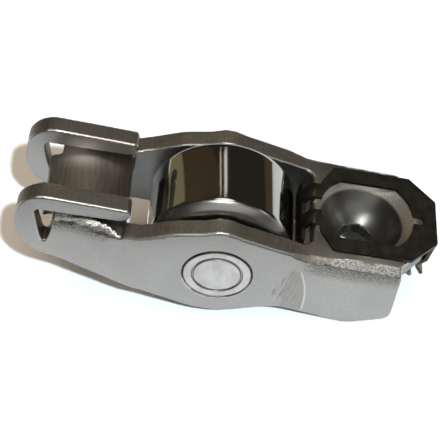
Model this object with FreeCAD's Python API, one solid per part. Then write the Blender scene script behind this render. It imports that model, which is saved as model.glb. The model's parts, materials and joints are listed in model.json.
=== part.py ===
import FreeCAD, Part
import math
import os

V = FreeCAD.Vector

# Driving dimensions in millimetres, in the arm's own frame: the origin on the axle axis,
# X towards the adjuster end, Z towards the side that the valve and the adjuster touch

# Pressed sheet
sheet = 2.4
half_width = 8.1
tip_half_width = 6.3
flare_length = 8.2
flare_bend_radius = 8.0

# Axle, roller and needles
axle_radius = 3.95
axle_fit = 0.02
stake_radius = 2.95
stake_width = 0.3
stake_depth = 0.25
roller_radius = 8.5
roller_side_gap = 0.4
roller_chamfer = 0.95
needle_radius = 1.0
needle_end_gap = 0.4
needle_side_gap = 0.05
needle_play = 0.02

# Side walls
belly_x = 0.15
belly_z = -7.05
belly_radius = 9.5
left_haunch_x = -8.3
left_haunch_z = -4.85
right_haunch_z = -4.05
right_haunch_back = 2.55
left_heel_z = -2.0
left_heel_radius = 5.0
heel_fall = 1.7
foot_offset = 0.3
foot_z = -5.3
foot_radius = 2.5
end_reach = 5.0
end_rise = 2.0
end_corner_radius = 1.5
wall_end_lean = 0.06
crest_x = 0.2
crest_z = 7.1
crest_flat = 1.2
crest_slope = 0.23

# Adjuster end of the web, with its ball cup
window_gap = 1.55
window_corner_radius = 1.3
web_top_z = 5.0
outer_bend_radius = 1.5
end_bend_radius = 2.1
inner_bend_radius = 0.6
run_out_start = 3.65
run_out_middle = 0.75
run_out_end = 2.25
run_out_rise = 0.55
tongue_reach = 2.3
tongue_half_width = 3.7
cup_margin = 5.85
cup_radius = 5.4
cup_depth = 4.3
cup_rim_radius = 4.85
cup_mouth_radius = 6.1
cup_shell = 1.55
cup_bulge_steps = 4
oil_hole_radius = 1.8

# Valve pad and its two guide lugs
pad_gap = 2.45
pad_length = 9.55
pad_crest_back = 4.75
pad_crest_z = 3.9
pad_radius = 13.0
pad_bend_radius = 1.4
pad_run_out = 2.45
shelf_drop = 0.35
hook_reach = 2.9
hook_corner_radius = 3.2
lug_gap = 0.4
lug_height = 2.3
lug_overhang = 0.2
slot_back = 0.95
slot_front = 1.2
slot_depth = 4.6

# Retaining clip
clip_sheet = 0.4
clip_half_width = 6.3
clip_edge_gap = 0.7
clip_end_reach = 1.25
clip_left_corner = 1.6
clip_right_corner = 3.1
clip_window_left_radius = 5.15
clip_window_right_radius = 5.85
clip_window_half_width = 4.4
clip_slot_length = 1.15
clip_slot_half_width = 0.62
neck_middle_y = 0.3
neck_width = 2.1
neck_gap_half_width = 0.95
leg_half_width = 4.3
leg_gap = 0.25
leg_height = 4.4
hook_half_width = 3.0

FAR = 30.0


def offset_path(path, distance):
    # path: (u, v, bend radius); the copy lies at the given distance on its left side
    out = []
    last = len(path) - 1
    for i, (u, v, r) in enumerate(path):
        before = path[max(i - 1, 0)]
        after = path[min(i + 1, last)]
        a = V(u - before[0], v - before[1], 0) if i > 0 else V(after[0] - u, after[1] - v, 0)
        b = V(after[0] - u, after[1] - v, 0) if i < last else a
        a.normalize()
        b.normalize()
        mitre = V(-a.y - b.y, a.x + b.x, 0)
        mitre.normalize()
        reach = distance / (mitre.x * -a.y + mitre.y * a.x)
        turn = a.x * b.y - a.y * b.x
        radius = 0.0
        if r > 0 and abs(turn) > 1e-9:
            radius = max(r - distance * math.copysign(1.0, turn), 0.0)
        out.append((u + mitre.x * reach, v + mitre.y * reach, radius))
    return out


def strip_corners(path, thickness):
    # Closed outline of a bent strip that follows the path
    left = offset_path(path, thickness / 2)
    right = offset_path(path, -thickness / 2)
    return left + right[::-1]


def outline(corners, place):
    # Closed wire with straight sides, each corner (u, v, r) rounded by a tangent arc
    count = len(corners)
    points = [V(u, v, 0) for (u, v, r) in corners]
    wanted = []
    for i, (u, v, r) in enumerate(corners):
        a = points[i - 1] - points[i]
        b = points[(i + 1) % count] - points[i]
        half = a.getAngle(b) / 2
        straight = half > math.pi / 2 - 1e-6
        wanted.append(0.0 if r <= 0 or straight else r / math.tan(half))
    stops = []
    for i, p in enumerate(points):
        a = points[i - 1] - p
        b = points[(i + 1) % count] - p
        length = wanted[i]
        if length <= 0:
            stops.append((p, None, p))
            continue
        # Two arcs that would meet on one side share it
        before = a.Length * 0.98 / max(wanted[i - 1] + length, 1e-9)
        after = b.Length * 0.98 / max(wanted[(i + 1) % count] + length, 1e-9)
        length *= min(before, after, 1.0)
        half = a.getAngle(b) / 2
        radius = length * math.tan(half)
        a.normalize()
        b.normalize()
        bisector = a + b
        bisector.normalize()
        middle = p + bisector * (radius / math.sin(half) - radius)
        stops.append((p + a * length, middle, p + b * length))
    edges = []
    for i, (start, middle, end) in enumerate(stops):
        if middle is not None:
            edges.append(Part.Arc(place(start), place(middle), place(end)).toShape())
        following = stops[(i + 1) % count][0]
        if (following - end).Length > 1e-6:
            edges.append(Part.LineSegment(place(end), place(following)).toShape())
    return Part.Wire(edges)


def side_prism(corners, y0, y1):
    # Outline in X and Z, solid from y0 to y1
    wire = outline(corners, lambda p: V(p.x, y0, p.y))
    return Part.Face(wire).extrude(V(0, y1 - y0, 0))


def plan_prism(corners, z0, z1):
    # Outline in X and Y, solid from z0 to z1
    wire = outline(corners, lambda p: V(p.x, p.y, z0))
    return Part.Face(wire).extrude(V(0, 0, z1 - z0))


def box(x0, x1, y0, y1, z0, z1):
    return Part.makeBox(x1 - x0, y1 - y0, z1 - z0, V(x0, y0, z0))


def both_sides(shape):
    return [shape, shape.mirror(V(0, 0, 0), V(0, 1, 0))]


def across(radius, half_length, y_middle=0.0):
    # Cylinder on the axle axis
    return Part.makeCylinder(radius, 2 * half_length, V(0, y_middle - half_length, 0), V(0, 1, 0))


def pad_height(x, drop=0.0):
    # The pad is an arc about a line across the arm
    radius = pad_radius - drop
    return pad_crest_z - pad_radius + math.sqrt(radius ** 2 - (x - pad_crest_x) ** 2)


# Places along the arm, worked out from the roller towards both ends
window_right_x = roller_radius + window_gap
run_out_start_x = window_right_x - run_out_start
run_out_middle_x = window_right_x - run_out_middle
run_out_end_x = window_right_x + run_out_end
right_haunch_x = window_right_x - right_haunch_back
cup_x = window_right_x + cup_margin
foot_x = cup_x + foot_offset
wall_right_x = cup_x + end_reach
tongue_x = wall_right_x + tongue_reach
pad_right_x = -roller_radius - pad_gap
pad_left_x = pad_right_x - pad_length
pad_crest_x = pad_right_x - pad_crest_back
pad_run_out_x = pad_right_x - pad_run_out
wall_left_x = pad_left_x - hook_reach
flare_end_x = pad_right_x + 1.65
flare_start_x = flare_end_x - flare_length
shoulder_x = pad_right_x + 1.75
lug_tip_x = pad_right_x + lug_overhang
slot_left_x = pad_left_x - slot_back
slot_right_x = pad_left_x + slot_front
clip_left_x = window_right_x + clip_edge_gap
clip_right_x = tongue_x + clip_end_reach
clip_slot_end_x = cup_x + clip_window_right_radius + clip_slot_length

# Heights and widths that several pieces share
mid_y = half_width - sheet / 2
tip_mid_y = tip_half_width - sheet / 2
inner_y = half_width - sheet
tip_inner_y = tip_half_width - sheet
web_low_z = web_top_z - sheet
shoulder_z = pad_crest_z + 0.15
shelf_z = pad_crest_z - shelf_drop
lug_bottom_z = pad_crest_z + lug_gap
lug_top_z = lug_bottom_z + lug_height
slot_bottom_z = pad_crest_z - slot_depth
roller_half_length = inner_y - roller_side_gap
needle_half_length = roller_half_length - needle_end_gap
needle_pitch = axle_radius + needle_radius + needle_play
needle_step = 2 * math.asin((needle_radius + needle_side_gap / 2) / needle_pitch)
needle_count = int(2 * math.pi / needle_step)
end_low_z = foot_z + end_rise
web_end_x = wall_right_x - wall_end_lean * (web_top_z - end_low_z)
pad_root_z = pad_crest_z - pad_bend_radius - 1.3
hook_root_z = pad_crest_z - pad_bend_radius - 0.3
run_out_start_z = web_top_z + run_out_rise
wall_path = [(-FAR, tip_mid_y, 0), (flare_start_x, tip_mid_y, flare_bend_radius),
             (flare_end_x, mid_y, flare_bend_radius), (FAR, mid_y, 0)]


def wall_outline():
    # From the valve end along the lower edge, back along the upper edge
    step_x = pad_right_x - 0.25
    bump_x = run_out_start_x - (crest_z - 0.5 - run_out_start_z) / crest_slope
    top_x = web_end_x - wall_end_lean * (crest_z + 1 - web_top_z)
    return [
        (wall_left_x, hook_root_z, 0),
        (wall_left_x, left_heel_z, left_heel_radius),
        (flare_start_x + 0.5, left_heel_z - heel_fall, 25.0),
        (left_haunch_x, left_haunch_z, 10.0),
        (belly_x, belly_z, belly_radius),
        (right_haunch_x, right_haunch_z, 5.0),
        (foot_x, foot_z, foot_radius),
        (wall_right_x, end_low_z, end_corner_radius),
        (top_x, crest_z + 1, 0),
        (run_out_start_x, crest_z + 1, 0),
        (run_out_start_x, run_out_start_z, 0),
        (bump_x, crest_z - 0.5, 1.5),
        (crest_x, crest_z, 1.0),
        (crest_x - crest_flat, crest_z, 1.0),
        (crest_x - crest_flat - 1.4, crest_z - 0.6, 1.5),
        (crest_x - crest_flat - 4.8, crest_z - 1.45, 6.0),
        (shoulder_x, shoulder_z, 2.5),
        (step_x, shelf_z, 0),
        (step_x, pad_root_z, 0),
        (pad_left_x - 0.1, pad_root_z, 0),
        (pad_left_x - 0.1, hook_root_z, 0),
    ]


def walls():
    ribbon = plan_prism(strip_corners(wall_path, sheet), -FAR, FAR)
    wall = ribbon.common(side_prism(wall_outline(), 0, FAR))
    return both_sides(wall)


def web_section(x, top_z, radius):
    # Outer section of the channel across the arm, open towards the table
    corners = [(-half_width, -FAR, 0), (-half_width, top_z, radius),
               (half_width, top_z, radius), (half_width, -FAR, 0)]
    return outline(corners, lambda p: V(x, p.x, p.y))


def bend_envelope():
    # The square upper edge beside the roller runs out into the round bend of the web
    left = box(-FAR, run_out_start_x, -FAR, FAR, -FAR, FAR)
    sections = [
        web_section(run_out_start_x, run_out_start_z, 0.04),
        web_section(run_out_middle_x, web_top_z - 0.1, outer_bend_radius * 0.7),
        web_section(run_out_end_x, web_top_z, outer_bend_radius),
        web_section(tongue_x, web_top_z, end_bend_radius)]
    return left.fuse(Part.makeLoft(sections, True, True))


def adjuster_web():
    plate = box(run_out_start_x, web_end_x, -half_width, half_width, web_low_z, web_top_z)
    root_y = half_width - outer_bend_radius
    tongue = plan_prism([
        (web_end_x - 2, -root_y, 0), (web_end_x + 0.3, -root_y, 0.5),
        (tongue_x, -tongue_half_width, 0.8), (tongue_x, tongue_half_width, 0.8),
        (web_end_x + 0.3, root_y, 0.5), (web_end_x - 2, root_y, 0)], web_low_z, web_top_z)
    r = inner_bend_radius
    corner = box(window_right_x, web_end_x, inner_y - r, inner_y, web_low_z - r, web_low_z)
    hollow = Part.makeCylinder(r, FAR, V(window_right_x - 1, inner_y - r, web_low_z - r), V(1, 0, 0))
    return [plate, tongue] + both_sides(corner.cut(hollow))


def roller_window():
    # Everything between the walls, from the pad to the adjuster end of the web
    corners = [(pad_right_x - 1, -inner_y, 0), (window_right_x, -inner_y, window_corner_radius),
               (window_right_x, inner_y, window_corner_radius), (pad_right_x - 1, inner_y, 0)]
    return plan_prism(corners, web_low_z - 2, FAR).common(
        box(0, FAR, -FAR, FAR, -FAR, FAR))


def cup_profile(radius, rim_r, rim_z, top_r, top_z):
    # Half section of the cup about its axis, closed above the web
    centre_z = web_top_z - cup_depth + cup_radius
    bottom = V(cup_x, 0, centre_z - radius)
    rim = V(cup_x + rim_r, 0, rim_z)
    angle = math.asin(min(rim_r / radius, 1.0)) / 2
    middle = V(cup_x + radius * math.sin(angle), 0, centre_z - radius * math.cos(angle))
    lip = V(cup_x + top_r, 0, top_z)
    above = V(cup_x + top_r, 0, top_z + 3)
    axis_top = V(cup_x, 0, top_z + 3)
    edges = [Part.Arc(bottom, middle, rim).toShape(), Part.LineSegment(rim, lip).toShape(),
             Part.LineSegment(lip, above).toShape(), Part.LineSegment(above, axis_top).toShape(),
             Part.LineSegment(axis_top, bottom).toShape()]
    face = Part.Face(Part.Wire(edges))
    return face.revolve(V(cup_x, 0, 0), V(0, 0, 1), 360)


def cup_rim_z():
    centre_z = web_top_z - cup_depth + cup_radius
    return centre_z - math.sqrt(cup_radius ** 2 - cup_rim_radius ** 2)


def cup_hollow():
    return cup_profile(cup_radius, cup_rim_radius, cup_rim_z(), cup_mouth_radius, web_top_z)


def cup_bulge():
    # Outside of the pressed cup under the web, its round side in a few short cones
    centre_z = web_top_z - cup_depth + cup_radius
    radius = cup_radius + cup_shell
    top_z = web_low_z + 0.5
    top_angle = math.acos((centre_z - top_z) / radius)
    points = [V(cup_x, 0, top_z)]
    for step in range(cup_bulge_steps + 1):
        angle = top_angle * step / cup_bulge_steps
        points.append(V(cup_x + radius * math.sin(angle), 0, centre_z - radius * math.cos(angle)))
    face = Part.Face(Part.makePolygon(points + points[:1]))
    bulge = face.revolve(V(cup_x, 0, 0), V(0, 0, 1), 360)
    return bulge.common(box(window_right_x, FAR, -mid_y, mid_y, -FAR, web_top_z))


def oil_hole():
    return Part.makeCylinder(oil_hole_radius, FAR, V(cup_x, 0, -FAR + web_low_z), V(0, 0, 1))


def pad_side_outline(drop, x0, x1, low):
    arc = Part.Arc(V(x0, 0, pad_height(x0, drop)), V(pad_crest_x, 0, pad_crest_z - drop),
                   V(x1, 0, pad_height(x1, drop))).toShape()
    return Part.Wire([
        arc, Part.LineSegment(V(x1, 0, pad_height(x1, drop)), V(x1, 0, low)).toShape(),
        Part.LineSegment(V(x1, 0, low), V(x0, 0, low)).toShape(),
        Part.LineSegment(V(x0, 0, low), V(x0, 0, pad_height(x0, drop))).toShape()])


def pad_block(shift, drop, x0, x1, low):
    # Block under the pad's arc, as wide as the channel
    line = offset_path(wall_path, shift)
    other = [(u, -v, r) for (u, v, r) in line]
    plan = plan_prism(line + other[::-1], -FAR, FAR)
    face = Part.Face(pad_side_outline(drop, x0, x1, low))
    face.translate(V(0, -FAR, 0))
    return plan.common(face.extrude(V(0, 2 * FAR, 0)))


def rounded_pad(x0, x1, low, radius):
    # The same block with its long upper edges bent round
    block = pad_block(sheet / 2, 0.0, x0, x1, low)
    edges = []
    for edge in block.Edges:
        ends = [vertex.Point for vertex in edge.Vertexes]
        middle = edge.valueAt((edge.FirstParameter + edge.LastParameter) / 2)
        long_one = x0 + 0.01 < middle.x < x1 - 0.01 and abs(middle.y) > 1
        high = min(end.z for end in ends) > low + 0.5
        if long_one and high:
            edges.append(edge)
    return block.makeFillet(radius, edges)


def pad_section(x, radius, low):
    # Section of the pad's block across the flared part of the arm
    line = offset_path(wall_path, sheet / 2)
    (x0, y0, r0), (x1, y1, r1) = line[1], line[2]
    y = y0 + (y1 - y0) * (x - x0) / (x1 - x0)
    top = pad_height(x)
    corners = [(-y, low, 0), (-y, top, radius), (y, top, radius), (y, low, 0)]
    return outline(corners, lambda p: V(x, p.x, p.y))


def valve_pad():
    # The round bend runs out into the square edge beside the window
    low = pad_crest_z - sheet - 2.6
    r = pad_bend_radius
    outer = rounded_pad(pad_left_x, pad_run_out_x, low, r)
    middle_x = (pad_run_out_x + pad_right_x) / 2
    run_out = Part.makeLoft([
        pad_section(pad_run_out_x, r, low), pad_section(middle_x, r / 2, low),
        pad_section(pad_right_x, 0.05, low)], True, True)
    inner = pad_block(-sheet / 2, sheet, pad_left_x - 1, pad_right_x + 1, low - 5)
    return outer.fuse(run_out).cut(inner)


def guide_lug():
    # The end of each wall hooks up and runs back over the bend
    corners = [
        (wall_left_x, hook_root_z - 0.3, 0),
        (wall_left_x, lug_top_z + 0.1, hook_corner_radius),
        (lug_tip_x - 3.25, lug_top_z - 0.25, 12.0),
        (lug_tip_x, lug_top_z - 0.4, 0.6),
        (lug_tip_x, lug_bottom_z + 0.1, 1.5),
        (slot_right_x, lug_bottom_z + 0.05, 0),
        (slot_right_x, hook_root_z - 0.3, 0),
    ]
    return both_sides(side_prism(corners, tip_inner_y, tip_half_width))


def lug_slot():
    # Opening between the hooked wall end and the bend of the pad
    corners = [
        (slot_left_x, lug_bottom_z + 0.05, 0.5),
        (slot_left_x + 0.55, slot_bottom_z + 2.6, 6.0),
        (slot_right_x - 0.85, slot_bottom_z, 0.35),
        (slot_right_x - 0.3, slot_bottom_z - 0.1, 0.35),
        (slot_right_x + 0.05, slot_bottom_z + 1.9, 2.0),
        (slot_right_x, lug_bottom_z + 0.05, 0),
    ]
    return both_sides(side_prism(corners, tip_inner_y - 0.25, tip_half_width + 0.5))


def arm_body():
    pieces = walls() + adjuster_web()
    shape = pieces[0].fuse(pieces[1:]).common(bend_envelope())
    shape = shape.cut(roller_window())
    shape = shape.fuse([cup_bulge(), valve_pad()] + guide_lug())
    shape = shape.removeSplitter()
    bore = across(axle_radius + axle_fit, FAR)
    for tool in [bore, cup_hollow(), oil_hole()] + lug_slot():
        shape = shape.cut(tool)
    return shape


def axle_pin():
    # Both end faces carry the ring left by staking the pin in its bore
    pin = across(axle_radius, half_width)
    rims = [e for e in pin.Edges if isinstance(e.Curve, Part.Circle)]
    pin = pin.makeChamfer(0.12, rims)
    ring = across(stake_radius, stake_depth, half_width)
    ring = ring.cut(across(stake_radius - stake_width, FAR))
    return pin.cut(both_sides(ring))


def roller_ring():
    # Section of the ring turned about the axle axis, hollow where the needles run
    race = axle_radius + 2 * needle_radius + 2 * needle_play
    end = roller_half_length
    low = roller_radius - roller_chamfer
    section = [
        (-end, race, 0), (-end, low, 0), (roller_chamfer - end, roller_radius, 0),
        (end - roller_chamfer, roller_radius, 0), (end, low, 0), (end, race, 0)]
    wire = outline(section, lambda p: V(p.y, p.x, 0))
    return Part.Face(wire).revolve(V(0, 0, 0), V(0, 1, 0), 360)


def needle(index):
    angle = 2 * math.pi * index / needle_count
    centre = V(needle_pitch * math.cos(angle), -needle_half_length, needle_pitch * math.sin(angle))
    return Part.makeCylinder(needle_radius, 2 * needle_half_length, centre, V(0, 1, 0))


def clip_plate():
    a = clip_left_corner
    b = clip_right_corner
    w = clip_half_width
    return plan_prism([
        (clip_left_x, -w + 2.7, 0.5), (clip_left_x + a, -w, 0.5),
        (clip_right_x - b, -w, 0.4), (clip_right_x, -w + b, 0.4),
        (clip_right_x, w - b, 0.4), (clip_right_x - b, w, 0.4),
        (clip_left_x + a, w, 0.5), (clip_left_x, w - 2.7, 0.5)], web_top_z, web_top_z + clip_sheet)


def clip_openings():
    # The window follows the cup's mouth, a slot lies outside it and a gap parts the two necks
    low = web_top_z - 0.1
    high = web_top_z + 1
    window = Part.makeCylinder(clip_window_left_radius, high - low, V(cup_x, 0, low)).common(
        box(0, cup_x, -clip_window_half_width, clip_window_half_width, low, high))
    right_half = Part.makeCylinder(clip_window_right_radius, high - low, V(cup_x, 0, low)).common(
        box(cup_x, FAR, -clip_window_half_width, clip_window_half_width, low, high))
    x = cup_x + 1
    h = clip_slot_half_width
    slot = plan_prism([(x, -h, 0), (clip_slot_end_x, -h, 0.45), (clip_slot_end_x, h, 0.45), (x, h, 0)], low, high)
    gap = box(0, cup_x, neck_middle_y - neck_gap_half_width, neck_middle_y + neck_gap_half_width, low, high)
    return window.fuse([right_half, slot, gap]).removeSplitter()


def clip_left_leg():
    # Two necks run over the window's edge and carry a wide leg that snaps under the web
    z = web_top_z + clip_sheet / 2
    x = window_right_x - leg_gap - clip_sheet / 2
    low = web_top_z - leg_height
    path = [(clip_left_x + 0.4, z, 0), (x, z, 0.55), (x, low + 1.0, 0.6), (x + 0.9, low, 0)]
    strip = strip_corners(path, clip_sheet)
    near = neck_middle_y - neck_gap_half_width
    far = neck_middle_y + neck_gap_half_width
    necks = [side_prism(strip, near - neck_width, near), side_prism(strip, far, far + neck_width)]
    leg_path = [(x, web_top_z - 1.0, 0), (x, low + 1.0, 0.6), (x + 0.9, low, 0)]
    leg = side_prism(strip_corners(leg_path, clip_sheet), -leg_half_width, leg_half_width)
    return necks + [leg]


def clip_right_hook():
    # The outer end folds down past the web and springs back under its edge
    z = web_top_z + clip_sheet / 2
    x = clip_right_x - clip_sheet / 2
    path = [(clip_right_x - 1.2, z, 0), (x, z, 0.5), (tongue_x + 0.8, web_low_z - 0.5, 0.5),
            (tongue_x - 0.1, web_low_z - 1.6, 0.5), (tongue_x + 0.9, web_low_z - 3.0, 0)]
    return side_prism(strip_corners(path, clip_sheet), -hook_half_width, hook_half_width)


def retaining_clip():
    shape = clip_plate().fuse(clip_left_leg() + [clip_right_hook()])
    return shape.cut(clip_openings()).removeSplitter()


def lie_angle():
    # The arm lies on its roller and on the feet of its walls
    before = V(right_haunch_x - foot_x, right_haunch_z - foot_z, 0)
    after = V(wall_right_x - foot_x, end_rise, 0)
    before.normalize()
    after.normalize()
    half = before.getAngle(after) / 2
    bisector = before + after
    bisector.normalize()
    reach = foot_radius / math.sin(half)
    x = foot_x + bisector.x * reach
    z = foot_z + bisector.y * reach
    return math.degrees(math.atan2(z, x) + math.asin((roller_radius - foot_radius) / math.hypot(x, z)))


def build():
    shapes = {"arm_body": arm_body(), "axle_pin": axle_pin(), "roller_ring": roller_ring(),
              "retaining_clip": retaining_clip()}
    for index in range(needle_count):
        shapes["needle_%02d" % (index + 1)] = needle(index)
    angle = lie_angle()
    for shape in shapes.values():
        shape.rotate(V(0, 0, 0), V(0, 1, 0), angle)
    arm = shapes["arm_body"].optimalBoundingBox(False, False)
    clip = shapes["retaining_clip"].optimalBoundingBox(False, False)
    middle_x = (min(arm.XMin, clip.XMin) + max(arm.XMax, clip.XMax)) / 2
    os.makedirs("parts", exist_ok=True)
    for name, shape in shapes.items():
        shape.translate(V(-middle_x, 0, roller_radius))
        shape.exportStep("parts/" + name + ".step")
    print("lie angle %.3f degrees, axle axis at x %.4f z %.4f" % (angle, -middle_x, roller_radius))
    for name in ("arm_body", "retaining_clip", "roller_ring", "axle_pin"):
        shape = shapes[name]
        print(name, shape.ShapeType, "solids", len(shape.Solids), "valid", shape.isValid(),
              "volume %.1f" % shape.Volume)


build()
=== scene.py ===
# %% [markdown]
# # A roller finger rocker arm
# This small part sits between a cam and a valve in a car engine. It is pressed from one sheet of
# steel, and it carries a polished roller on needle bearings and a black spring clip. The lesson
# dresses the measured model: it gives each piece softer edges, finer curves and its own finish.

# %% Load the measured model
import bpy
import json
import math
import numpy as np
from mathutils import Matrix, Vector


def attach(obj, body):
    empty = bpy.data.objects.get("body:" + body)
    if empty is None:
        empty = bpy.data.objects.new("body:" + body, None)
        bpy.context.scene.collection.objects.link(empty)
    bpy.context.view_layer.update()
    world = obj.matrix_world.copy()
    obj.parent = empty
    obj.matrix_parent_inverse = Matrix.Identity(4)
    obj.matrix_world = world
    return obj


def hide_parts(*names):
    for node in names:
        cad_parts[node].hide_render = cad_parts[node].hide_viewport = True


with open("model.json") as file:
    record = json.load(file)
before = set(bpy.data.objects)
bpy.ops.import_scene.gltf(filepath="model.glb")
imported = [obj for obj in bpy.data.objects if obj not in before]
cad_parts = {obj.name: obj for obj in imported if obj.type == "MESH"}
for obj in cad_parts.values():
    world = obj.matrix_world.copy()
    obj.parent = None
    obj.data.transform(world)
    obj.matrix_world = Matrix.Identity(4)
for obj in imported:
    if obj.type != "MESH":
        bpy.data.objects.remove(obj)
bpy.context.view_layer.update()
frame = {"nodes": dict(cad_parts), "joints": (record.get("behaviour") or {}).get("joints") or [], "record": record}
nodes = frame["nodes"]

# %% [markdown]
# ## The arm's own axes
# The arm lies tilted on its roller and on the feet of its walls, but every edge of it was drawn
# straight along its own length. Measurements and patterns are easier in those own axes, so we
# turn places from the table's axes into the arm's: the origin on the axle, X towards the ball cup.

# %% Turn table places into arm places
socket = next(m for m in frame["record"]["mounts"] if m["name"] == "ball_socket")
LEAN = math.atan2(socket["axis"][0], socket["axis"][2])
AXLE = Vector(frame["joints"][0]["pos_m"])
TO_ARM = Matrix.Scale(1000, 4) @ Matrix.Rotation(-LEAN, 4, "Y") @ Matrix.Translation(-AXLE)
TO_TABLE = TO_ARM.inverted()
print("lean in degrees:", round(math.degrees(LEAN), 2), "axle:", [round(v, 5) for v in AXLE])


def arm_places(points):
    # Table metres to arm millimetres, a row per point
    m = np.array(TO_ARM)
    return points @ m[:3, :3].T + m[:3, 3]


# %% [markdown]
# ## Camera
# The photograph was taken from above the near wall with a long lens. The view was worked out from
# the outlines of the arm, so the camera only needs its place, its turn and its focal length.

# %% Camera
lens = bpy.data.cameras.new("camera")
lens.sensor_width = 36.0
lens.lens = 124.957
lens.clip_start = 0.01
lens.clip_end = 20.0
camera = bpy.data.objects.new("camera", lens)
camera.location = (0.0090121, -0.1168321, 0.142413)
camera.rotation_euler = [math.radians(a) for a in (41.2143, 1.9877, 2.7523)]
bpy.context.scene.collection.objects.link(camera)
bpy.context.scene.camera = camera
bpy.context.scene.view_settings.view_transform = "Standard"
print("camera distance in mm:", round(1000 * (camera.location - AXLE).length, 1))

# %% [markdown]
# ## Mesh helpers
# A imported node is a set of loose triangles. A copy of it, merged into one skin, can be worked on.
# Pieces that turn about the axle are made as on a lathe: a half section turned round in steps.

# %% Mesh helpers


def link_piece(name, mesh):
    piece = bpy.data.objects.new(name, mesh)
    bpy.context.scene.collection.objects.link(piece)
    return piece


def dress(piece, material):
    piece.data.materials.clear()
    piece.data.materials.append(material)


def weld(piece, within):
    # Points closer together than this, in metres, become one
    piece.modifiers.new("weld", "WELD").merge_threshold = within


def merged_copy(node, name):
    # One closed skin from the node's loose triangles
    piece = link_piece(name, nodes[node].data.copy())
    weld(piece, 0.000001)
    return piece


def bake_modifiers(piece):
    # Replace the piece's mesh with what its modifiers make of it
    graph = bpy.context.evaluated_depsgraph_get()
    graph.update()
    mesh = bpy.data.meshes.new_from_object(piece.evaluated_get(graph))
    piece.modifiers.clear()
    old = piece.data
    piece.data = mesh
    bpy.data.meshes.remove(old)
    mesh.name = piece.name
    return mesh


def rounded(corners, steps=5):
    # Each corner (place along the axle, radius, size of its round) becomes a small arc
    out = []
    last = len(corners) - 1
    for i, (along, radius, size) in enumerate(corners):
        p = Vector((along, radius))
        if size <= 0 or i in (0, last):
            out.append(p)
            continue
        a = Vector(corners[i - 1][:2]) - p
        b = Vector(corners[i + 1][:2]) - p
        size = min(size, a.length * 0.49, b.length * 0.49)
        a.normalize()
        b.normalize()
        for k in range(steps + 1):
            t = k / steps
            out.append(p + a * size * (1 - t) ** 2 + b * size * t ** 2)
    return out


def turned(name, corners, segments=160):
    # Half section in millimetres about the axle, turned once round into a closed skin
    section = rounded(corners)
    closed = (section[0] - section[-1]).length < 1e-6
    if closed:
        section = section[:-1]
    verts, faces = [], []
    n = len(section)
    for k in range(segments):
        a = 2 * math.pi * k / segments
        for p in section:
            verts.append(TO_TABLE @ Vector((p.y * math.cos(a), p.x, p.y * math.sin(a))))
    for k in range(segments):
        here, there = k * n, (k + 1) % segments * n
        for j in range(n if closed else n - 1):
            i = (j + 1) % n
            faces.append((here + j, here + i, there + i, there + j))
    mesh = bpy.data.meshes.new(name)
    mesh.from_pydata(verts, [], faces)
    piece = link_piece(name, mesh)
    weld(piece, 0.0000005)
    bake_modifiers(piece)
    outward = sum(face.area * face.normal.dot(face.center - AXLE) for face in piece.data.polygons)
    if outward < 0:
        piece.data.flip_normals()
    piece.data.shade_smooth()
    return piece


def report(piece):
    size = [round(1000 * v, 2) for v in piece.dimensions]
    print(piece.name, "faces:", len(piece.data.polygons), "size in mm:", size)


print("mesh helpers ready")

# %% [markdown]
# ## Arm body
# The real arm is pressed from sheet and then tumbled, so every sheared edge has a tiny round.
# A bevel could cut these rounds, but it fails where many edges meet. Here the skin is rebuilt
# from even little faces and smoothed a few times, which rounds each edge by the same amount.

# %% Rebuild the arm's skin
FACE = 0.19  # side of a face in millimetres: finer ones would pass 200,000 triangles
arm = merged_copy("arm_body", "arm")
remesh = arm.modifiers.new("even faces", "REMESH")
remesh.mode = "VOXEL"
remesh.voxel_size = FACE / 1000
relax = arm.modifiers.new("tumbled edges", "SMOOTH")
relax.factor = 0.5
relax.iterations = 8
arm_mesh = bake_modifiers(arm)
report(arm)

# %% [markdown]
# ## Even out the curves
# The model's curves are made of flat strips, and on bright metal each strip would show. So the
# direction that each point faces is averaged with its neighbours, again and again. Neighbours
# that face another way count for nothing, and so true edges stay sharp.

# %% Average the facing directions
AVERAGINGS = 90
SHARP = math.cos(math.radians(9))  # neighbours that differ by more than this angle don't count
count = len(arm_mesh.vertices)
place = np.empty(count * 3)
arm_mesh.vertices.foreach_get("co", place)
place = place.reshape(-1, 3)
facing = np.empty(count * 3)
arm_mesh.vertices.foreach_get("normal", facing)
facing = facing.reshape(-1, 3)
pairs = np.empty(len(arm_mesh.edges) * 2, np.int64)
arm_mesh.edges.foreach_get("vertices", pairs)
pairs = pairs.reshape(-1, 2)
start, end = pairs[:, 0], pairs[:, 1]
for step in range(AVERAGINGS):
    alike = np.einsum("ij,ij->i", facing[start], facing[end])
    share = np.clip((alike - SHARP) / (1 - SHARP), 0, 1)
    new = facing * 0.5
    for axis in range(3):
        new[:, axis] += np.bincount(start, share * facing[end, axis], count)
        new[:, axis] += np.bincount(end, share * facing[start, axis], count)
    facing = new / np.linalg.norm(new, axis=1)[:, None]
arm_mesh.shade_smooth()
arm_mesh.normals_split_custom_set_from_vertices(facing.tolist())
print("points:", count, "averaging steps:", AVERAGINGS)

# %% [markdown]
# ## Where the arm was cut and where it was bent
# A press leaves three kinds of skin. Flat faces come from the rolled sheet, sheared edges are
# dark and scored across the sheet, and tight bends stretch the steel until its grain stands out.
# Each kind is worked out from place and direction, and kept on the mesh as an attribute. So are the
# rounded edges, which tumbling polishes most.

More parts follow.
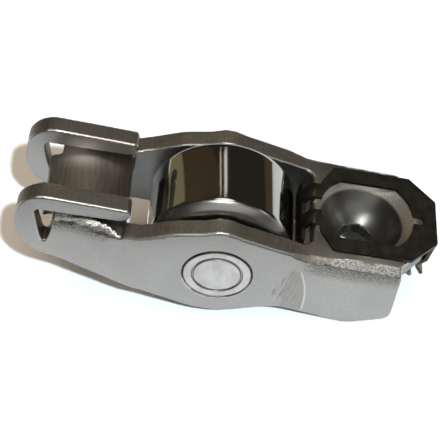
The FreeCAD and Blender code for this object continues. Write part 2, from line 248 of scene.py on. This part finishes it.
# %% Places in the arm's own axes, in millimetres
SHEET = 2.4
HALF_NARROW, HALF_WIDE = 6.3, 8.1
NARROW_END, WIDE_START = -17.5, -9.3
PAD_X, PAD_TOP, PAD_RADIUS = -15.7, 3.9, 13
CUP_X = 15.9
own = arm_places(place)
own_facing = facing @ np.array(Matrix.Rotation(-LEAN, 3, "Y")).T
x, y, z = own[:, 0], np.abs(own[:, 1]), own[:, 2]
nx, ny, nz = own_facing[:, 0], np.abs(own_facing[:, 1]), own_facing[:, 2]
outer = np.interp(x, [NARROW_END, WIDE_START], [HALF_NARROW, HALF_WIDE])
pad_top = PAD_TOP - PAD_RADIUS + np.sqrt(np.maximum(PAD_RADIUS ** 2 - (x - PAD_X) ** 2, 0))
away = np.hypot(x - CUP_X, own[:, 1])
print("arm from x =", round(float(x.min()), 1), "to", round(float(x.max()), 1), "mm")


def rise(values, low, high):
    # 0 below low, 1 above high, and a soft rise between them
    t = np.clip((values - low) / (high - low), 0, 1)
    return t * t * (3 - 2 * t)


def band(values, low, low_end, high, high_end):
    # 1 from low_end to high, with a soft rise before it and a soft fall after it
    return rise(values, low, low_end) * (1 - rise(values, high, high_end))


# %% [markdown]
# ## Sheared edges
# The sheet's thickness shows only where the press has cut it. So what lies between the wall's two
# faces, and doesn't face sideways, is sheared. So are the ends, which face along the arm.

# %% Mark sheared edges
in_wall = rise(y, outer - SHEET - 0.2, outer - SHEET - 0.05)
in_lug = rise(z, 4.05, 4.25) * (1 - rise(x, -10.7, -10.4))
pad_face = band(x, -20.75, -20.45, -11.1, -10.85) * (1 - rise(z, pad_top + 0.1, pad_top + 0.3))
pad_face *= rise(z, pad_top - 2.2, pad_top - 1.8)
web_face = rise(x, 9.6, 10.8) * rise(z, 2.4, 2.8)
edge_on = 1 - rise(ny, 0.5, 0.85)
cut = np.maximum(in_wall * (1 - pad_face) * (1 - web_face), in_lug) * edge_on
cut = np.maximum(cut, rise(np.abs(nx), 0.6, 0.85)) * rise(away, 6.4, 6.8)
print("sheared share of the points:", round(float(cut.mean()), 3))

# %% [markdown]
# ## Bends
# The walls turn into the web in a bend at the right, and into the pad in another at the left. The
# skin there faces between outward and up. Near 46 degrees it gets a painted highlight.

# %% Mark bends
bend = rise(ny, 0.08, 0.3) * rise(nz, 0.02, 0.2) * rise(z, 1.6, 2.6) * rise(y, 5.4, 5.8) * rise(x, 7.6, 10.2)
run_out = rise(y, 7.8, 8.0) * rise(z, 1.9, 3.3) * rise(x, 8.6, 10.6)
left_bend = rise(x, -20.6, -20.3) * (1 - rise(x + 0.75 * (3.2 - z), -12.6, -11.8))
left_bend *= rise(z, pad_top - 2.6, pad_top - 1.2) * rise(y, outer - 1.7, outer - 1.1)
left_bend *= 1 - in_lug
bend = np.maximum(np.maximum(bend, run_out), left_bend) * (1 - cut)
slope = np.degrees(np.arcsin(np.clip(nz, -1, 1)))
painted_crown_highlight = bend * np.exp(-((slope - 46) / 15) ** 2)
print("bent share of the points:", round(float(bend.mean()), 3))

# %% [markdown]
# ## Cup, pad and polished edges
# The cup, its dulled lead-in and its oil hole are known by their distance from the cup's centre.
# An edge is known by how fast the facing directions open from one point to the next.

# %% Mark the cup, the pad and the polished edges
cup = (1 - rise(away, 4.8, 5.0)) * band(z, -0.4, 0.4, 3.75, 3.9)
lead_in = band(away, 4.8, 5.0, 6.0, 6.5) * rise(z, 3.4, 3.8)
hole_wall = (1 - rise(away, 2.3, 2.7)) * (1 - rise(z, 1.6, 2.0)) * (1 - rise(nz, 0.25, 0.5))
cut = np.maximum(cut, hole_wall)
pad = pad_face * rise(nz, 0.4, 0.7) * (1 - in_lug) * (1 - rise(y, 4.6, 5.4))
web = rise(nz, 0.8, 0.95) * rise(x, 8.6, 9.6) * rise(z, 4.5, 4.8) * (1 - lead_in)
way = place[end] - place[start]
opening = np.einsum("ij,ij->i", facing[end] - facing[start], way) / np.einsum("ij,ij->i", way, way)
opening = np.maximum(opening, 0)
joined = np.bincount(start, minlength=count) + np.bincount(end, minlength=count)
roundness = (np.bincount(start, opening, count) + np.bincount(end, opening, count)) / joined
edge = rise(roundness, 800, 1500) * rise(nz, 0.0, 0.35)
marks = {"cut": cut, "bend": bend, "cup": cup, "lead_in": lead_in, "edge": edge, "pad": pad, "painted_crown_highlight": painted_crown_highlight,
         "web": web}
for name, values in marks.items():
    layer = arm_mesh.attributes.new(name, "FLOAT", "POINT")
    layer.data.foreach_set("value", np.clip(values, 0, 1).astype(np.float32))
    print(name, "covers", round(float(values.mean()), 3), "of the points")

# %% [markdown]
# ## Roller and axle
# Both are ground on a lathe-like machine, so both are turned here from their half sections.
# The roller's section runs round the ring. The axle's runs from one end face to the other, with
# the narrow groove that staking leaves in each end.

# %% Turn the roller
RACE = 5.99
ring = [(0, RACE, 0), (-5.3, RACE, 0.15), (-5.3, 7.55, 0.4), (-4.35, 8.5, 0.5),
        (4.35, 8.5, 0.5), (5.3, 7.55, 0.4), (5.3, RACE, 0.15), (0, RACE, 0)]
roller = turned("roller", ring, 200)
report(roller)

# %% Turn the axle
near_half = [(-8.1, 0.0, 0), (-8.1, 2.63, 0.06), (-7.87, 2.7, 0.05), (-7.87, 2.9, 0.05), (-8.1, 2.97, 0.06),
             (-8.1, 3.78, 0.08), (-7.95, 3.95, 0.08)]
far_half = [(-along, radius, size) for along, radius, size in near_half[::-1]]
axle = turned("axle", near_half + far_half, 120)
report(axle)

# %% [markdown]
# ## Needles
# Fifteen hardened needles run between the axle and the roller, with no cage. They are all alike
# and evenly spaced, which is just what Geometry Nodes do well: points on a circle, a needle on
# each point, and then one real mesh. They hide inside, so each has few faces.

# %% Needles on a circle


def needle_tree():
    tree = bpy.data.node_groups.new("needle ring", "GeometryNodeTree")
    for label, value in (("Count", 15), ("Pitch", 0.00497), ("Radius", 0.001), ("Length", 0.0098)):
        kind = "NodeSocketInt" if label == "Count" else "NodeSocketFloat"
        tree.interface.new_socket(label, in_out="INPUT", socket_type=kind).default_value = value
    tree.interface.new_socket("Finish", in_out="INPUT", socket_type="NodeSocketMaterial")
    tree.interface.new_socket("Geometry", in_out="OUTPUT", socket_type="NodeSocketGeometry")
    add, join = tree.nodes.new, tree.links.new
    given = add("NodeGroupInput")
    circle = add("GeometryNodeMeshCircle")
    join(given.outputs["Count"], circle.inputs["Vertices"])
    join(given.outputs["Pitch"], circle.inputs["Radius"])
    rod = add("GeometryNodeMeshCylinder")
    rod.inputs["Vertices"].default_value = 20
    join(given.outputs["Radius"], rod.inputs["Radius"])
    join(given.outputs["Length"], rod.inputs["Depth"])
    spread = add("GeometryNodeInstanceOnPoints")
    join(circle.outputs["Mesh"], spread.inputs["Points"])
    join(rod.outputs["Mesh"], spread.inputs["Instance"])
    stand = add("GeometryNodeTransform")
    stand.inputs["Rotation"].default_value = (math.pi / 2, 0, 0)
    stand.inputs["Translation"].default_value = AXLE
    join(spread.outputs["Instances"], stand.inputs["Geometry"])
    real = add("GeometryNodeRealizeInstances")
    join(stand.outputs["Geometry"], real.inputs["Geometry"])
    finish = add("GeometryNodeSetMaterial")
    join(real.outputs["Geometry"], finish.inputs["Geometry"])
    join(given.outputs["Finish"], finish.inputs["Material"])
    out = add("NodeGroupOutput")
    join(finish.outputs["Geometry"], out.inputs["Geometry"])
    return tree


needle_steel = bpy.data.materials.new("needle steel")
needles = link_piece("needles", bpy.data.meshes.new("needles"))
modifier = needles.modifiers.new("ring", "NODES")
modifier.node_group = needle_tree()
for item in modifier.node_group.interface.items_tree:
    if item.item_type == "SOCKET" and item.in_out == "INPUT" and item.name == "Finish":
        modifier[item.identifier] = needle_steel
bake_modifiers(needles)
report(needles)

# %% [markdown]
# ## Retaining clip
# The clip is stamped from thin spring sheet. Its left leg isn't straight: below the web it bows
# towards the roller, so that it snaps under the edge. The flat leg is cut across into short bands
# and each band is shifted, as a press brake bends a strip in small steps.

# %% Bend the clip's leg
import bmesh
WEB_TOP = 5.0
LEG_X = 9.6
LEG_BOW = 0.85
BOW_TOP = WEB_TOP + 0.2
BOW_DEPTH = 2.1
BANDS, BAND = 12, 0.25
clip = merged_copy("retaining_clip", "clip")
flat = clip.modifiers.new("flat faces", "DECIMATE")
flat.decimate_type = "DISSOLVE"
flat.angle_limit = math.radians(1)
bake_modifiers(clip)
bands = bmesh.new()
bands.from_mesh(clip.data)
up = (TO_TABLE.to_3x3() @ Vector((0, 0, 1))).normalized()
for k in range(BANDS):
    across = TO_TABLE @ Vector((0, 0, WEB_TOP + 0.1 - k * BAND))
    whole = bands.verts[:] + bands.edges[:] + bands.faces[:]
    bmesh.ops.bisect_plane(bands, geom=whole, dist=1e-7, plane_co=across, plane_no=up)
for vert in bands.verts:
    spot = TO_ARM @ vert.co
    if spot.x < LEG_X + 1.2 and spot.z < BOW_TOP:
        depth = min((BOW_TOP - spot.z) / BOW_DEPTH, 1.0)
        spot.x -= LEG_BOW * depth * depth * (3 - 2 * depth)
        vert.co = TO_TABLE @ spot
bands.to_mesh(clip.data)
bands.free()
print("leg bows by", LEG_BOW, "mm at", BOW_DEPTH, "mm below the web's top")

# %% [markdown]
# ## The clip's edges
# A bevel takes the sharpness off the sheared edges, and its faces have a material of their own for
# rubbed steel. The clip's shortest edges hold its strips to about 0.001 mm, a hundredth of the
# width asked for, so it hardly shows.

# %% Chamfer the clip
clip_steel = bpy.data.materials.new("clip steel")
clip_edge = bpy.data.materials.new("clip edge")
clip.data.materials.clear()
for material in (clip_steel, clip_edge):
    clip.data.materials.append(material)
chamfer = clip.modifiers.new("thin chamfer", "BEVEL")
chamfer.width = 0.00011
chamfer.segments = 2
chamfer.limit_method = "ANGLE"
chamfer.angle_limit = math.radians(40)
chamfer.harden_normals = True
chamfer.material = 1
bake_modifiers(clip)
report(clip)
print("rubbed chamfer faces:", sum(face.material_index for face in clip.data.polygons))

# %% [markdown]
# ## Finishes as formulas
# A procedural finish is a sum of small patterns. Wired by hand such a network is hard to read,
# so a tiny class wraps each socket and lets us write the network as a formula.

# %% A socket that can be used in a formula


class Wire:
    def __init__(self, finish, socket):
        self.finish, self.socket = finish, socket

    def maths(self, operation, *values):
        return self.finish.node("ShaderNodeMath", {"operation": operation}, dict(enumerate(values)))

    def __add__(self, other):
        return self.maths("ADD", self, other)

    def __sub__(self, other):
        return self.maths("SUBTRACT", self, other)

    def __rsub__(self, other):
        return self.maths("SUBTRACT", other, self)

    def __mul__(self, other):
        return self.maths("MULTIPLY", self, other)

    def __truediv__(self, other):
        return self.maths("DIVIDE", self, other)

    def __pow__(self, other):
        return self.maths("POWER", self, other)

    def __abs__(self):
        return self.maths("ABSOLUTE", self)

    __radd__ = __add__
    __rmul__ = __mul__

    def step(self, low, high):
        # 0 below low, 1 above high, and a soft rise between them
        settings = {"interpolation_type": "SMOOTHSTEP"}
        return self.finish.node("ShaderNodeMapRange", settings, {"Value": self, 1: low, 2: high}, "Result")

    def band(self, low, low_end, high, high_end):
        # 1 from low_end to high, with a soft rise before it and a soft fall after it
        return self.step(low, low_end) * (1 - self.step(high, high_end))


class Finish:
    def __init__(self, owner):
        # The owner is a material, or the world around the set
        owner.use_nodes = True
        self.tree = owner.node_tree
        self.tree.nodes.clear()

    def node(self, kind, settings=None, values=None, out=0):
        made = self.tree.nodes.new(kind)
        for key, value in (settings or {}).items():
            setattr(made, key, value)
        for key, value in (values or {}).items():
            if isinstance(value, Wire):
                self.tree.links.new(value.socket, made.inputs[key])
            else:
                made.inputs[key].default_value = value
        return Wire(self, made.outputs[out]) if made.outputs else None

    def split(self, vector):
        apart = self.node("ShaderNodeSeparateXYZ", {}, {0: vector}).socket.node
        return [Wire(self, socket) for socket in apart.outputs]

    def joined(self, x, y, z):
        return self.node("ShaderNodeCombineXYZ", {}, {0: x, 1: y, 2: z})

    def arm_place(self, scale=(1, 1, 1)):
        # Place on the arm in millimetres, in the arm's own axes
        raw = self.node("ShaderNodeTexCoord", out="Object")
        shift = Matrix.Rotation(-LEAN, 3, "Y") @ (-AXLE * 1000)
        values = {"Vector": raw, "Location": shift, "Rotation": (0, -LEAN, 0), "Scale": (1000, 1000, 1000)}
        own = self.node("ShaderNodeMapping", {"vector_type": "POINT"}, values)
        if scale == (1, 1, 1):
            return own
        return self.node("ShaderNodeVectorMath", {"operation": "MULTIPLY"}, {0: own, 1: scale})

    def noise(self, vector, scale, detail=3.0, rough=0.55):
        values = {"Vector": vector, "Scale": scale, "Detail": detail, "Roughness": rough}
        return self.node("ShaderNodeTexNoise", {}, values, "Fac")

    def mark(self, name):
        return self.node("ShaderNodeAttribute", {"attribute_name": name}, out="Fac")

    def blend(self, share, first, second):
        first, second = (c if isinstance(c, Wire) else (*c, 1) for c in (first, second))
        settings = {"data_type": "RGBA", "clamp_factor": True}
        return self.node("ShaderNodeMix", settings, {0: share, 6: first, 7: second}, 2)

    def bump(self, height, distance, strength):
        return self.node("ShaderNodeBump", {}, {"Height": height, "Distance": distance, "Strength": strength})

    def steel(self, color, rough, normal=None, metal=1.0):
        # The shader itself: metal everywhere unless told otherwise
        values = {"Base Color": color, "Roughness": rough, "Metallic": metal}
        if normal is not None:
            values["Normal"] = normal
        shader = self.node("ShaderNodeBsdfPrincipled", {}, values)
        self.node("ShaderNodeOutputMaterial", {}, {"Surface": shader})

    def glow(self, tint):
        shader = self.node("ShaderNodeEmission", {}, {"Color": tint})
        self.node("ShaderNodeOutputMaterial", {}, {"Surface": shader})


print("formula classes ready")

# %% [markdown]
# ## Steel of the arm
# Tumbling with small stones leaves the flat faces satin, with a fine even mottle. The sheared
# edges are darker and browner, scored across the sheet, with a rough band where the steel broke.
# On the bends the grain is coarse, some grains bright and some dark, with a painted highlight.

# %% Patterns on the arm
arm_steel = bpy.data.materials.new("arm steel")
f = Finish(arm_steel)
here = f.arm_place()
ax, ay, az = f.split(here)
off_middle = ay * ay
cut_mark, bend_mark, cup_mark, lead_mark = (f.mark(name) for name in ("cut", "bend", "cup", "lead_in"))
edge_mark, pad_mark, painted_highlight_mark, web_mark = (f.mark(name) for name in ("edge", "pad", "painted_crown_highlight", "web"))
mottle = f.noise(here, 2.6, 4, 0.6)
cloud = f.noise(here, 0.28, 2, 0.5)
grain = f.noise(here, 5.2, 2, 0.7)
scores = f.noise(f.arm_place((7.0, 0.5, 7.0)), 1.0, 3, 0.6)
break_band = f.noise(f.arm_place((0.5, 2.2, 0.5)), 1.0, 3, 0.65)
brushed = f.noise(f.arm_place((4.0, 0.25, 1.0)), 1.0, 3, 0.6)
print("arm marks read:", len(marks))

# %% Colours of the arm's skins
satin = f.blend(mottle.step(0.3, 0.7), (0.345, 0.345, 0.338), (0.395, 0.395, 0.385))
satin = f.blend(cloud.step(0.35, 0.65) * 0.5, satin, (0.335, 0.335, 0.328))
sheared = f.blend(scores.step(0.3, 0.7), (0.205, 0.19, 0.157), (0.28, 0.262, 0.22))
sheared = f.blend(break_band.step(0.5, 0.68) * 0.7, sheared, (0.34, 0.285, 0.21))
on_lug = 1 - ax.step(-11.2, -10.4)
sheared = f.blend(on_lug * 0.35, sheared, (0.11, 0.10, 0.08))
# Painted shade: the sheared wall of the oil hole is darkened
painted_hole_shade = ax.band(12.5, 13.0, 19.0, 19.5) * (1 - off_middle.step(7.0, 9.0))
sheared = f.blend(painted_hole_shade * 0.75, sheared, (0.055, 0.053, 0.048))
stretched = f.blend(grain.step(0.38, 0.62), (0.15, 0.147, 0.135), (0.34, 0.335, 0.315))
# Painted highlight: lighter grain for where the bends face up at about 46 degrees
bright = f.blend(grain.step(0.4, 0.6), (0.30, 0.297, 0.285), (0.80, 0.79, 0.76))
burnished = f.blend(cloud.step(0.3, 0.7), (0.175, 0.176, 0.165), (0.225, 0.226, 0.213))
dulled = f.blend(grain.step(0.3, 0.7), (0.68, 0.64, 0.55), (0.90, 0.87, 0.79))
rubbed = f.blend(brushed.step(0.3, 0.7), (0.25, 0.228, 0.18), (0.34, 0.315, 0.26))
# Painted highlight on the pad beside the far lug, and painted light on both lugs' inner faces
painted_pad_highlight = ay.step(0.8, 3.6) * ax.band(-20.2, -17.6, -17.2, -13.8)
rubbed = f.blend(painted_pad_highlight, rubbed, (0.74, 0.71, 0.64))
painted_lug_light = off_middle.band(12.5, 13.7, 17.2, 18.5) * ax.band(-20.5, -16.5, -11.4, -10.9) * az.step(4.1, 4.3)
print("arm skins mixed, nodes:", len(f.tree.nodes))

# %% [markdown]
# ## One skin over another
# Each mark says how much of its skin covers what was laid before it, as coats of paint do. The
# roughness and the bump are sums of the same marks.

# %% Lay the skins over one another
color = f.blend(bend_mark, satin, stretched)
# Painted highlight on the bends
color = f.blend(painted_highlight_mark, color, bright)
# Painted light on the lugs' inner faces
color = f.blend(painted_lug_light * (1 - cut_mark) * 0.33, color, (0.72, 0.70, 0.65))
# The pad's rubbed colour carries a painted highlight
color = f.blend(pad_mark, color, rubbed)
color = f.blend(web_mark * 0.9, color, (0.23, 0.212, 0.175))
color = f.blend(cup_mark, color, burnished)
color = f.blend(lead_mark, color, dulled)
color = f.blend(cut_mark, color, sheared)
color = f.blend(edge_mark * 0.8 * (1 - cup_mark), color, (0.70, 0.69, 0.65))
rough = 0.40 + mottle * 0.08 - bend_mark * 0.06 + cut_mark * 0.10 - cup_mark * 0.10 - pad_mark * 0.06
rough = rough - edge_mark * 0.20
height = mottle * 0.3 + (bend_mark + lead_mark * 0.6) * grain * 2.0 + cut_mark * scores * 0.4
height = height * (1 - cup_mark * 0.85)
print("arm skins laid, nodes:", len(f.tree.nodes))

# %% [markdown]
# ## Wear beside the axle
# A tool has scuffed the near wall to the right of the axle. It left a few slanting strokes and a
# duller patch that ends in a bright curved scratch. These are drawn by distance from a few lines.

# %% Scuffed patch, strokes and scratch
near_face = 1 - ay.step(-8.0, -7.6)
below = az + 3.2
beside = ax - (10.55 - below * below * 0.04)
length = az.band(-4.4, -3.6, 2.3, 3.1) * near_face
scratch = (1 - abs(beside).step(0.05, 0.16)) * length
patch = ax.step(7.6, 8.2) * (1 - beside.step(-0.15, 0.05)) * length
streaks = f.noise(f.joined((ax - az * 0.12) * 4.5, ay, az * 0.3), 1.0, 3, 0.7)
dx, dz = (ax - 7.35) / 0.85, (az + 0.7) / 2.3
strokes = (1 - (dx * dx + dz * dz).step(0.4, 1.1)) * near_face
color = f.blend(patch * 0.45, color, (0.27, 0.255, 0.245))
color = f.blend(patch * 0.5 * (1 - streaks.step(0.36, 0.5)), color, (0.17, 0.16, 0.155))
color = f.blend(strokes * 0.75 * (1 - streaks.step(0.36, 0.47)), color, (0.15, 0.15, 0.145))
color = f.blend(strokes * streaks.step(0.57, 0.66), color, (0.52, 0.52, 0.5))
color = f.blend(scratch * 0.85, color, (0.58, 0.575, 0.555))
f.steel(color, rough, f.bump(height, 0.00003, 0.6))
dress(arm, arm_steel)
print("arm steel nodes:", len(f.tree.nodes))

# %% [markdown]
# ## Ground and polished steel
# The roller is ground and lapped until it mirrors the room, and only hair-fine grinding lines
# run round it. The axle's end is satin, with light smears from the staking tool.

# %% Roller, axle and needle steel


def about_axle(f):
    # Distance from the axle's line, place along it and place ahead of it, in millimetres
    ax, ay, az = f.split(f.arm_place())
    return (ax * ax + az * az) ** 0.5, ay, ax


roller_steel = bpy.data.materials.new("roller steel")
f = Finish(roller_steel)
radius, along, ahead = about_axle(f)
lines = f.noise(f.joined(radius * 14.0, along * 14.0, ahead * 0.03), 1.0, 2, 0.5)
on_end = abs(along).step(4.0, 4.5)
tint = f.blend(lines.step(0.3, 0.7), (0.355, 0.352, 0.34), (0.41, 0.407, 0.395))
f.steel(tint, 0.06 + on_end * 0.26 + lines * 0.03, f.bump(lines, 0.00001, 0.12))
dress(roller, roller_steel)

axle_steel = bpy.data.materials.new("axle steel")
f = Finish(axle_steel)
radius = about_axle(f)[0]
smear = f.noise(f.arm_place((0.7, 0.7, 0.35)), 1.0, 3, 0.6)
fine = f.noise(f.arm_place(), 3.0, 3, 0.6)
tint = f.blend(smear.step(0.35, 0.65), (0.44, 0.44, 0.43), (0.54, 0.54, 0.53))
# Darker in the staking groove; painted shade on the chamfer round the end, beside the wall
tint = f.blend(radius.band(2.6, 2.7, 2.9, 3.0) * 0.6, tint, (0.2, 0.19, 0.17))
tint = f.blend(radius.step(3.76, 3.86), tint, (0.10, 0.095, 0.085))
f.steel(tint, 0.34 + fine * 0.12, f.bump(fine, 0.00002, 0.4))
dress(axle, axle_steel)

f = Finish(needle_steel)
fine = f.noise(f.arm_place((1, 0.2, 1)), 6.0, 2, 0.5)
f.steel(f.blend(fine, (0.5, 0.5, 0.49), (0.62, 0.62, 0.61)), 0.16 + fine * 0.1)
print("ground steels ready")

# %% [markdown]
# ## Blackened spring steel
# The clip was dipped to a black oxide, which is nearly black with a brown tinge and an oily
# sheen. On its thin chamfers the black has rubbed off in places.

# %% Clip steel
f = Finish(clip_steel)
here = f.arm_place()
haze = f.noise(here, 0.9, 4, 0.6)
fine = f.noise(here, 5.0, 2, 0.6)
tint = f.blend(haze.step(0.3, 0.7), (0.05, 0.047, 0.037), (0.078, 0.072, 0.057))
f.steel(tint, 0.34 + haze * 0.16 + fine * 0.06, f.bump(fine, 0.00001, 0.35))
f = Finish(clip_edge)
bare = f.noise(f.arm_place(), 1.6, 3, 0.6)
tint = f.blend(bare.step(0.38, 0.56), (0.16, 0.15, 0.125), (0.78, 0.75, 0.68))
f.steel(tint, 0.26 + bare * 0.1)
print("clip steels ready")

# %% [markdown]
# ## Which piece rides on what
# Each new piece stands for its measured node, and it moves with that node's body.

# %% Seat the pieces
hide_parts("arm_body")
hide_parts("roller_ring")
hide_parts("axle_pin")
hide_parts("retaining_clip")
needle_nodes = sorted(n for n in nodes if n.startswith("needle_"))
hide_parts(*needle_nodes)
for piece, body, slot in ((arm, "arm", "arm_steel"), (axle, "arm", "axle_steel"), (clip, "arm", "clip_steel"),
                          (roller, "roller", "roller_steel"), (needles, "needle_set", "needle_steel")):
    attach(piece, body)
for name, node in nodes.items():
    body_steel = {"arm_body": arm_steel, "roller_ring": roller_steel, "axle_pin": axle_steel,
                  "retaining_clip": clip_steel}.get(name, needle_steel)
    dress(node, body_steel)
print("pieces seated:", 5, "measured nodes dressed:", len(nodes))

# %% [markdown]
# ## Table and light
# Polished steel shows the room more than itself. The table is white paper, the room is dim, a
# small lamp high in front throws the shadow, and wide soft lamps above fill it. A few narrow lamps
# and coloured cards draw the lines that the steel mirrors. Some of them light only the paper and
# some only the steel, as a photographer flags a lamp off one part of the set.

# %% Table


def stage_sheet(name, corners, material):
    # A flat sheet of the studio that isn't part of the object
    mesh = bpy.data.meshes.new(name)
    mesh.from_pydata(corners, [], [(0, 1, 2, 3)])
    sheet = link_piece(name, mesh)
    dress(sheet, material)
    return sheet


def paper(name, dark, light):
    material = bpy.data.materials.new(name)
    f = Finish(material)
    tooth = f.noise(f.node("ShaderNodeTexCoord", out="Object"), 900.0, 3, 0.6)
    f.steel(f.blend(tooth, dark, light), 0.9, metal=0.0)
    return material


HALF_TABLE = 1.5
corners = [(-HALF_TABLE, -HALF_TABLE, 0), (HALF_TABLE, -HALF_TABLE, 0), (HALF_TABLE, HALF_TABLE, 0),
           (-HALF_TABLE, HALF_TABLE, 0)]
stage_sheet("table", corners, paper("white paper", (0.86, 0.86, 0.86), (0.90, 0.90, 0.90)))
print("table side in metres:", 2 * HALF_TABLE)

# %% [markdown]
# ## Lamps
# The small shadow lamp and the wide ceiling light only the paper: no steel mirrors them. The gloss,
# top, side and back lamps light only the steel. The last three light both: a long glow in front,
# and two narrow lines that the roller shows.

# %% Lamps


def lamp(name, toward, size, power, tint=(1, 1, 1), distance=1.0, tall=None, turn=0.0):
    # A flat lamp in the given direction from the arm, turned to face it
    light = bpy.data.lights.new(name, "AREA")
    light.shape = "RECTANGLE" if tall else "DISK"
    light.size = size
    if tall:
        light.size_y = tall
    light.energy = power
    light.color = tint
    lamp_object = bpy.data.objects.new(name, light)
    direction = Vector(toward).normalized()
    lamp_object.location = direction * distance
    own_turn = Matrix.Rotation(math.radians(turn), 3, "Z").to_quaternion()
    lamp_object.rotation_euler = (direction.to_track_quat("Z", "Y") @ own_turn).to_euler()
    bpy.context.scene.collection.objects.link(lamp_object)
    return lamp_object


for made in (lamp("shadow lamp", (0.27, -0.57, 0.775), 0.09, 86.0, (0.80, 0.91, 1.0), distance=2.5),
             lamp("ceiling", (0, 0, 1), 1.6, 12.5, (1.0, 0.81, 0.62), distance=1.5)):
    made.visible_glossy = False
for made in (lamp("gloss lamp", (0.12, -0.22, 0.97), 0.34, 4.2, (1.0, 0.99, 0.97), tall=0.13),
             lamp("top glow", (0.15, 0.25, 0.95), 0.45, 1.1, (1.0, 0.97, 0.92)),
             lamp("side lamp", (0.91, 0.01, 0.42), 0.26, 0.30, (1, 1, 1)),
             lamp("back lamp", (-0.51, 0.53, 0.68), 0.26, 0.32, (1, 0.93, 0.8))):
    made.visible_diffuse = False
lamp("front glow", (0.24, -0.735, 0.64), 1.6, 1.85, (1.0, 0.99, 0.96), tall=0.45)
lamp("line", (0.1006, 0.6717, 0.7339), 0.052, 0.037, (1, 1, 1), tall=0.18, turn=32)
lamp("warm line", (0.0007, 0.6715, 0.741), 0.015, 0.016, (1, 0.8, 0.52), tall=0.18, turn=24)


# %% [markdown]
# ## Cards and room
# The roller shows a strip of each card: olive at the left, brown beside it and at the right. The
# room is white where the camera sees it and dark where metal mirrors it.

# %% Cards and room


def card(name, toward, distance, width, low, high, tint, aslant=0.0):
    # An upright card that glows a little, seen only by the steel; its right edge may be cut aslant
    ahead = Vector((*toward, 0)).normalized()
    side = Vector((-ahead.y, ahead.x, 0)) * width / 2
    foot = ahead * distance
    corners = [foot - side, foot + side, foot + side, foot - side]
    for corner, top in zip(corners, (low, low, high, high)):
        corner.z = top
    corners[3] += side.normalized() * aslant
    material = bpy.data.materials.new(name)
    f = Finish(material)
    worn = f.noise(f.node("ShaderNodeTexCoord", out="Object"), 60.0, 2, 0.5)
    f.glow(f.blend(worn, [0.9 * part for part in tint], tint))
    steel_only(stage_sheet(name, corners, material))


def steel_only(sheet):
    # Mirrored by the steel, but not seen from any side and throwing no light or shadow
    sheet.visible_camera = False
    sheet.visible_diffuse = False
    sheet.visible_shadow = False


card("olive card", (-0.755, 0.656), 0.40, 0.156, 0.0, 0.23, (0.33, 0.30, 0.155), aslant=0.057)
card("brown curtain", (-0.755, 0.656), 0.55, 0.20, 0.18, 1.03, (0.095, 0.063, 0.037), aslant=-0.583)
card("brown card", (0.72, 0.69), 0.50, 0.20, 0.015, 0.11, (0.12, 0.085, 0.055))
MAT_TOP = 0.0003
corners = [(-0.3, -0.5, MAT_TOP), (0.3, -0.5, MAT_TOP), (0.3, -0.028, MAT_TOP), (-0.3, -0.028, MAT_TOP)]
steel_only(stage_sheet("dark mat", corners, paper("dark felt", (0.03, 0.028, 0.024), (0.05, 0.047, 0.04))))


def dim_room(dark, white):
    world = bpy.data.worlds.new("dim room")
    bpy.context.scene.world = world
    f = Finish(world)
    seen = f.node("ShaderNodeLightPath", out="Is Camera Ray")
    shades = [f.node("ShaderNodeBackground", {}, {"Color": (*tint, 1)}) for tint in (dark, white)]
    mixed = f.node("ShaderNodeMixShader", {}, {0: seen, 1: shades[0], 2: shades[1]})
    f.node("ShaderNodeOutputWorld", {}, {"Surface": mixed})


dim_room((0.040, 0.034, 0.026), (1.0, 1.0, 1.0))
print("lamps, cards and room ready")
